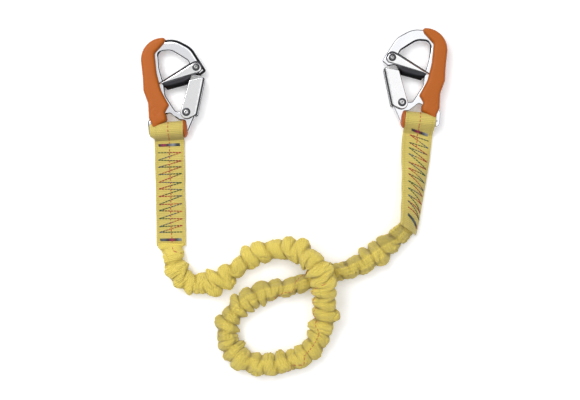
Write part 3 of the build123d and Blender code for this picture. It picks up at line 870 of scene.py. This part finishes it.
# forged body: plate, round eye bar along X and the boss under the gate. Also gives the painted dark
# reflection on the plate's chamfer, 1 along it and 0 on the faces
def forgedBody():
    # 1 on the outer edge and 0 round the opening, by the place in an oval
    def outward(foot):
        x, y, wide, long = forging["oval"]
        return smooth(0.98, 1.1, ((foot[:, 0] - x) / wide) ** 2 + ((foot[:, 1] - y) / long) ** 2)

    # chamfer size of the front: broad outside, narrow inside and near the eye
    def outerSide(foot):
        return (0.45 + 0.6 * outward(foot)) * (0.45 + 0.55 * smooth(8, 26, foot[:, 1]))

    # chamfer size of the back: broad inside the bow only
    def otherSide(foot):
        inner = 1 - outward(foot)
        return (0.36 + 0.4 * inner * smooth(66, 84, foot[:, 1])) * (0.6 + 0.4 * smooth(8, 26, foot[:, 1]))

    plate = plateParts(forging["outline"], -forging["half"], forging["half"], forging["rim"],
                       weight=outerSide, underWeight=otherSide, least=1.0)
    turn = np.arange(32) * math.pi / 16
    along = np.array([-20.5, 20.6])
    bar = np.stack([along[:, None] + 0 * turn, forging["barRadius"] * np.cos(turn) + 0 * along[:, None],
                    forging["barRadius"] * np.sin(turn) + 0 * along[:, None]], -1)
    h, r = forging["bossHalf"], forging["bossRadius"]
    boss = turnedParts([(0.01, -h), (r - 0.4, -h), (r, -h + 0.4), (r, h - 0.4), (r - 0.4, h), (0.01, h)],
                       forging["bossAt"])
    far, foot = nearestOnOutline(plate[0][:, :2], roundedOutline(forging["outline"], 1.0))
    upper = np.arange(len(far)) < len(far) // 2
    size = np.where(upper, outerSide(foot), otherSide(foot))
    # painted dark reflection: 1 on the chamfer, eased off at the rim's very edge and where the chamfer meets
    # the faces
    paintedDarkReflection = smooth(0.05, 0.3, far) * (1 - smooth(2.7, 3.3, far / size))
    return joined(plate, gridParts(bar), boss), paintedDarkReflection


# one half of the moulded grip: domed to its rim, a ring sunk round the rivet, hollowed over the webbing
def gripHalf():
    # two bell curves of depth: one round a circle, one at its middle
    def ringGroove(net, far):
        out = np.linalg.norm(net - np.array(grip["ringAt"]), axis=1)
        return -grip["ringDepth"] * np.exp(-((out - grip["ring"]) / 0.55) ** 2) \
            - 0.5 * grip["ringDepth"] * np.exp(-(out / 1.6) ** 4)

    # height of a round roll of webbing: the root of its radius squared less y squared
    def overRoll(net):
        return np.sqrt(np.maximum(0, grip["clear"] ** 2 - net[:, 1] ** 2))

    return plateParts(grip["outline"], 0.1, grip["half"], grip["rim"], under=[(0, 45), (0.35, 0)], least=1.6,
                      shape=ringGroove, lift=overRoll)


# lever cheek plates on both faces
def leverCheeks():
    cheek = plateParts(lever["cheek"], lever["inner"], lever["outer"], lever["rim"],
                       under=[(0, 45), (0.15, 0)])
    return joined(cheek, otherFace(cheek))


# keel under the cheeks: its section narrows from the cheeks' width to the foot as it goes deeper,
# carried between its two slanted ends
def leverKeel():
    w, f = lever["outer"] - 0.15, lever["keelFloor"]
    depth = np.array([0.0, 0.06, 0.5, 0.96, 1.0, 1.0, 0.96, 0.5, 0.06, 0.0])
    high = np.array([w - 0.5, w - 0.2, (w + f) / 2 + 0.25, f + 0.25, f * 0.6])
    z = np.concatenate([high, -high[::-1]])
    t = np.array([0.0, 0.012, 0.25, 0.5, 0.75, 0.988, 1.0])
    squeeze = np.array([0.9, 1.0, 1.0, 1.0, 1.0, 1.0, 0.9])
    top, foot = np.array(lever["keelTop"]), np.array(lever["keelFoot"])
    topLine = top[0] + (top[1] - top[0]) * t[:, None]
    footLine = foot[0] + (foot[1] - foot[0]) * t[:, None]
    flat = topLine[:, None] + (footLine - topLine)[:, None] * depth[None, :, None]
    grid = np.concatenate([flat, (squeeze[:, None] * z[None])[..., None]], -1)
    return gridParts(grid)


# painted shade: near-black liner plates that stand out a little past the cheeks' edges, on both faces, as a
# dark line along them
def edgeShadeLinerParts(part):
    middle = np.mean([c[:2] for c in part["cheek"]], 0)
    dx, dy = part["shadeLiner"]
    grow = part["shadeLinerGrow"]
    corners = []
    for x, y, r in part["cheek"]:
        out = np.array([x, y]) - middle
        out = out / np.linalg.norm(out) * grow
        corners.append((x + out[0] + dx, y + out[1] + dy, r + 0.4))
    plate = plateParts(corners, part["inner"] + 0.05, part["inner"] + 0.75, [(0, 60), (0.25, 0)], least=0.5)
    return plate, otherFace(plate)


# painted dark reflection: a near-black ring under each pin head, standing out round it as a dark rim
def paintedPinRingParts(part):
    radius = part["paintedPinRing"]
    low, high = part["outer"] - 0.3, part["outer"] + 0.35
    ring = turnedParts([(0.01, low), (radius, low), (radius, high - 0.1), (radius - 0.2, high), (0.01, high)],
                       part["pinAt"])
    return ring, otherFace(ring)


# gate: cheeks on both faces, broad-rimmed on the outside, and the web between them
def gateParts():
    a, b = np.array(gate["cheek"][1][:2]), np.array(gate["cheek"][2][:2])
    outward = np.array([b[1] - a[1], a[0] - b[0]]) / np.linalg.norm(b - a)

    # chamfer size: full within reach of the outer edge, narrow elsewhere
    def outerSide(foot):
        return 0.45 + 0.55 * smooth(-3.0, -1.2, (foot - a) @ outward)

    cheek = plateParts(gate["cheek"], gate["inner"], gate["outer"], gate["rim"], under=[(0, 45), (0.15, 0)],
                       weight=outerSide)
    web = plateParts(gate["web"], -gate["inner"] - 0.2, gate["inner"] + 0.2, [(0, 60), (0.3, 0)], least=0.3)
    return joined(cheek, otherFace(cheek), web)


# rivet through a joint: a broad low head with a sloped rim and a dimple at each end
def jointPin(at, shank, head, half):
    # keeps each slope's own shading: a point close to both ends of each run
    def crisp(line):
        line = np.array(line)
        near, last = line[:-1] * 0.92 + line[1:] * 0.08, line[:-1] * 0.08 + line[1:] * 0.92
        return np.stack([line[:-1], near, last], 1).reshape(-1, 2).tolist() + [line[-1].tolist()]

    top = crisp([(shank, half), (head, half), (head, half + 0.15), (head - 0.15, half + 0.3),
                 (head - 1.5, half + 1.25), (head - 1.8, half + 1.3), (1.4, half + 1.3), (0.3, half + 0.5),
                 (0.01, half + 0.45)])
    profile = [(r, -z) for r, z in top[::-1]] + top
    return turnedParts(profile, at)


for side in ("left", "right"):
    body, paintedDarkReflection = forgedBody()
    paintedDarkReflection = np.concatenate([paintedDarkReflection, np.zeros(len(body[0]) - len(paintedDarkReflection))])
    hookPiece(side, "ForgedBody", body, steel, "hook", "steel", "hook_body", marks={"rim": paintedDarkReflection})
    half = gripHalf()
    hookPiece(side, "GripUpper", half, orangePlastic, "hook", "grip", "grip_half_a")
    hookPiece(side, "GripLower", otherFace(half), orangePlastic, "hook", "grip", "grip_half_b")
    hookPiece(side, "LeverCheeks", leverCheeks(), sheetSteel, "lever", "lever", "lever")
    # painted shade and dark reflection: keel, liner plates and pin rings in near-black steel
    hookPiece(side, "LeverKeel", joined(leverKeel(), *edgeShadeLinerParts(lever), *paintedPinRingParts(lever)), keelSteel,
              "lever", "lever")
    hookPiece(side, "LeverPin", jointPin(lever["pinAt"], 2.0, 3.0, lever["outer"]), pinSteel, "lever", "pins",
              "lever_pin")
    hookPiece(side, "Gate", gateParts(), sheetSteel, "gate", "gate", "gate")
    # painted shade and dark reflection: liner plates and pin rings in near-black steel
    hookPiece(side, "GateShadeLiner", joined(*edgeShadeLinerParts(gate), *paintedPinRingParts(gate)), keelSteel, "gate", "gate")
    hookPiece(side, "GatePin", jointPin(gate["pinAt"], 2.2, 3.5, gate["outer"]), pinSteel, "gate", "pins",
              "gate_pin")
print("hooks made")

for piece in [gatheredCloth, elasticCore, tracerDashes, leftStrapCloth, rightStrapCloth,
              *leftThreads, *rightThreads]:
    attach(piece, "webbing")
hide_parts("gathered_webbing")
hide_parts("elastic_cord")
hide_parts("left_strap")
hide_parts("right_strap")

finishes = {"hook_body": steel, "lever": sheetSteel, "gate": sheetSteel, "lever_pin": pinSteel,
            "gate_pin": pinSteel, "grip_rivet": orangePlastic, "lever_spring": springSteel,
            "gate_spring": springSteel, "grip_half_a": orangePlastic, "grip_half_b": orangePlastic,
            "eye_sleeve": sleevePlastic}
for name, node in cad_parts.items():
    kind = name.split("_", 1)[1]
    if kind in finishes:
        node.data.materials.clear()
        node.data.materials.append(finishes[kind])

studio = {
    "floor": 0.97, "floorGlow": 0.16, "sky": 1.36,
    "lamp": 21.0, "lampAt": (-0.95, 0.9, 1.6), "lampSize": 1.3,
    "skyRing": [(0.0, 0.8), (0.05, 0.10), (0.62, 0.08), (0.70, 1.0), (1.0, 1.0)],  # light by height
    "overhead": (-0.17, 0.14, 0.52, 0.90),  # x from and to, light from and to, straight above
    "top": (0.90, 0.96),                    # heights between which the overhead light takes over
}

floorShop = Finish("paleFloor", Roughness=0.9)
cloud = floorShop.noise(floorShop.place(), 3.0)
pale = colour(*[studio["floor"]] * 3)
floorShop.paint(Base_Color=floorShop.blend(cloud, pale, darker(pale, 1.02)),
                Emission_Color=colour(1, 1, 1), Emission_Strength=studio["floorGlow"])
floorMesh = bpy.data.meshes.new("floor")
floorMesh.from_pydata([(-3, -3, 0), (3, -3, 0), (3, 3, 0), (-3, 3, 0)], [], [(0, 1, 2, 3)])
floorMesh.materials.append(floorShop.material)
floor = bpy.data.objects.new("floor", floorMesh)
scene.collection.objects.link(floor)

world = bpy.data.worlds.new("studioSky")
world.use_nodes = True
scene.world = world

# light of the sky by its direction: bright low down, a dark ring, and bright above, where the
# left side is dimmer
sky = Shop(world.node_tree)
skyAcross = sky.node("ShaderNodeSeparateXYZ", None, {0: sky.node("ShaderNodeTexCoord")})
skyHeight = Wire(sky, skyAcross.socket.node.outputs[2])
ring = sky.node("ShaderNodeValToRGB", {"stops": [(at, (level, level, level * 1.02, 1))
                                                 for at, level in studio["skyRing"]]}, {0: skyHeight})
overhead = sky.node("ShaderNodeMapRange", None, {0: skyAcross, **dict(enumerate(studio["overhead"], 1))})
above = sky.node("ShaderNodeMapRange", None, {0: skyHeight, **dict(enumerate((*studio["top"], 0.0, 1.0), 1))})
sky.feed(world.node_tree.nodes["Background"], {0: sky.blend(above, ring, overhead), 1: studio["sky"]})

lampData = bpy.data.lights.new("softBox", "AREA")
lampData.energy = studio["lamp"]
lampData.size = studio["lampSize"]
lamp = bpy.data.objects.new("softBox", lampData)
lamp.location = studio["lampAt"]
scene.collection.objects.link(lamp)
aim = lamp.constraints.new("TRACK_TO")
aim.target = floor
aim.track_axis = "TRACK_NEGATIVE_Z"
aim.up_axis = "UP_Y"
scene.view_settings.view_transform = "Standard"
print("stage made")
